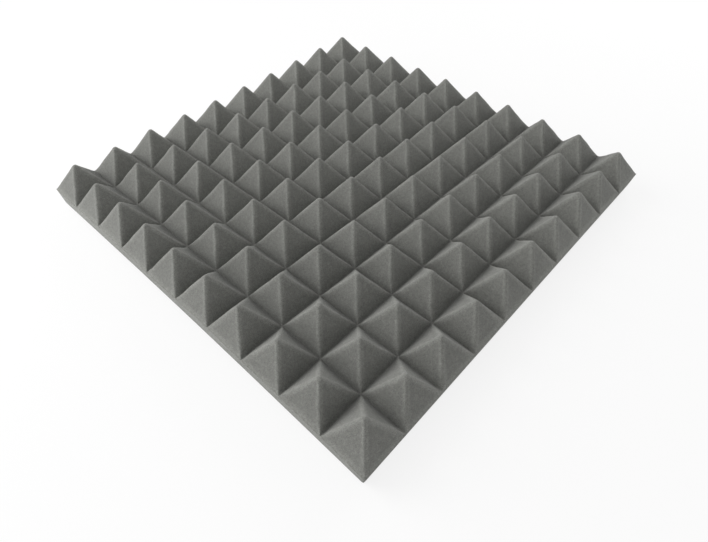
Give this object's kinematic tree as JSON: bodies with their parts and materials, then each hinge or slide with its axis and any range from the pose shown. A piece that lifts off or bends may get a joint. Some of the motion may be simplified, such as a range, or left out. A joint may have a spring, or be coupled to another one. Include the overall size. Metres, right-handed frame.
{
  "type": "acoustic foam panel",
  "caption": "Square tile of charcoal open-cell foam with a field of full pyramids on its front, which absorbs and scatters sound, and a flat back that is glued to a wall or ceiling.",
  "frame": {"origin": "middle of the flat back", "axes": "+Z out of the back towards the pyramids, +X and +Y along the trimmed edges"},
  "size_m": [0.5, 0.5, 0.055],
  "materials": {
    "charcoal_foam": "matte charcoal grey open-cell polyurethane foam with fine open pores and no skin"
  },
  "bodies": {
    "root": {"foam_panel": "charcoal_foam"}
  },
  "joints": []
}
